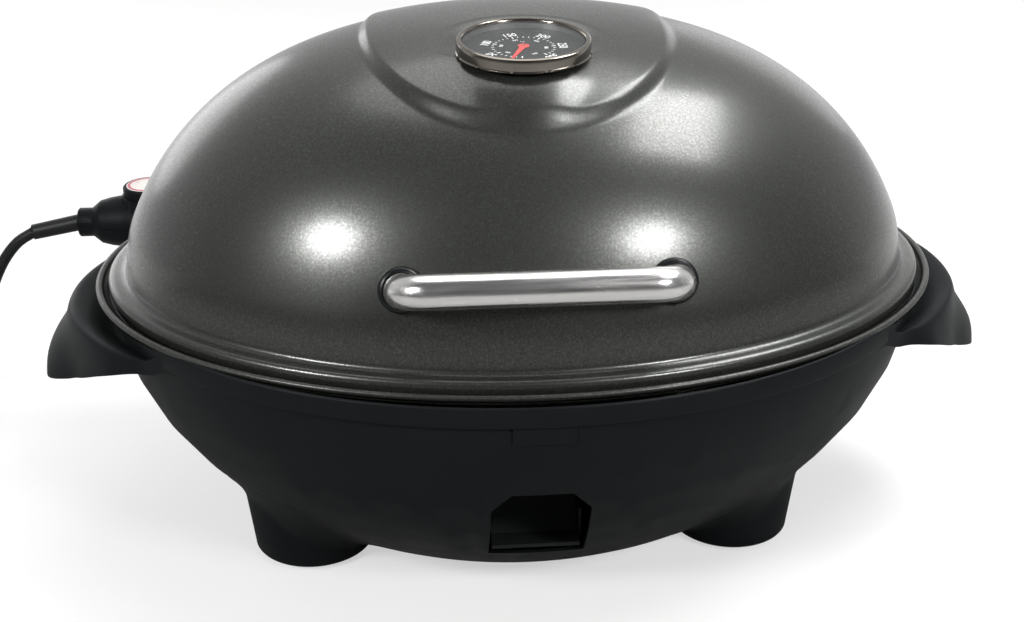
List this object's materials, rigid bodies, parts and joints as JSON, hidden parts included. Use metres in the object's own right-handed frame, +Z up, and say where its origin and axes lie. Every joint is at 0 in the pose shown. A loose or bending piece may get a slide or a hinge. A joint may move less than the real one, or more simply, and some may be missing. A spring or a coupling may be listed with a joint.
{
  "type": "electric table grill with hinged lid",
  "caption": "Oval electric table grill: hinged domed lid with thermometer and bar handle, ribbed plate, bowl base with side grips, grease tray and plug-in thermostat.",
  "frame": {"origin": "middle of the oval base on the plane that its rubber feet stand on", "axes": "+Z up, -Y to the front with the handle and the tray opening, +X to the right seen from the front, along the oval's long axis"},
  "size_m": [0.841, 0.4197, 0.3306],
  "materials": {
    "black_plastic": "matte bluish black heat-resistant plastic",
    "black_rubber": "black flexible rubber",
    "brass": "plain brass",
    "ceramic": "off-white ceramic, entered as gloss plastic",
    "chrome": "polished chromed tube",
    "clear_glass": "clear flat glass",
    "dial_disc": "pale disc with a red temperature band",
    "dial_face": "matte black dial with white numerals",
    "element_steel": "heat-darkened stainless steel rod",
    "graphite_paint": "dark graphite metallic paint with a fine speckle",
    "nonstick": "die-cast aluminium with a speckled dark non-stick coat",
    "red_needle": "red paint",
    "switch_board": "brown phenolic",
    "warm_steel": "brushed stainless steel",
    "zinc_steel": "plain zinc-plated steel"
  },
  "bodies": {
    "base": {"base_bowl": "black_plastic", "rim_frame": "black_plastic", "rubber_feet": "black_rubber", "heat_shield": "zinc_steel", "shield_screws": "zinc_steel", "tray_channel": "black_plastic", "channel_screws": "zinc_steel", "grill_plate": "nonstick", "heating_element": "element_steel", "element_clamps": "zinc_steel", "clamp_screws": "zinc_steel", "terminal_bushings": "ceramic", "terminal_pins": "brass", "socket_sleeve": "zinc_steel", "hinge_bracket_left": "zinc_steel", "hinge_bracket_right": "zinc_steel", "bracket_screws": "zinc_steel", "hinge_pins": "zinc_steel"},
    "tray": {"grease_tray": "black_plastic"},
    "lid": {"lid_shell": "graphite_paint", "lid_hinge_left": "zinc_steel", "lid_hinge_right": "zinc_steel", "lid_rivets": "zinc_steel", "handle_tube": "chrome", "handle_plugs": "zinc_steel", "handle_bezels": "black_plastic", "handle_screws": "zinc_steel", "handle_washers": "zinc_steel", "thermometer_bezel": "warm_steel", "thermometer_case": "zinc_steel", "thermometer_dial": "dial_face", "thermometer_glass": "clear_glass", "thermometer_stem": "zinc_steel", "thermometer_washer": "zinc_steel", "thermometer_nut": "zinc_steel"},
    "needle": {"thermometer_needle": "red_needle"},
    "controller": {"controller_lower": "black_plastic", "controller_upper": "black_plastic", "controller_nose": "black_plastic", "contact_sleeves": "brass", "temperature_probe": "zinc_steel", "thermostat_switch": "switch_board", "controller_screws": "zinc_steel", "strain_relief": "black_rubber", "power_cord": "black_rubber", "cord_coil": "black_rubber", "cord_tie": "black_rubber", "plug_body": "black_plastic", "plug_pins": "brass", "plug_earth_clips": "brass"},
    "dial": {"dial_knob": "black_plastic", "dial_pointer": "dial_disc", "dial_shaft": "zinc_steel"}
  },
  "joints": [
    {"name": "lid_hinge", "type": "hinge", "parent": "base", "child": "lid", "pos_m": [0, 0.211, 0.1752], "axis": [-1, 0, 0], "range_deg": [0, 80]},
    {"name": "tray_slide", "type": "slide", "parent": "base", "child": "tray", "axis": [0, -1, 0], "range_m": [0, 0.12]},
    {"name": "controller_pull", "type": "slide", "parent": "base", "child": "controller", "axis": [-1, 0, 0], "range_m": [0, 0.065]},
    {"name": "dial_turn", "type": "hinge", "parent": "controller", "child": "dial", "pos_m": [-0.252, 0.14, 0.17], "axis": [0, 0, 1], "range_deg": [-270, 0]},
    {"name": "needle_turn", "type": "hinge", "parent": "lid", "child": "needle", "pos_m": [0, -0.065, 0.31962], "axis": [0, -0.0698, 0.9976], "range_deg": [-260, 0]}
  ]
}
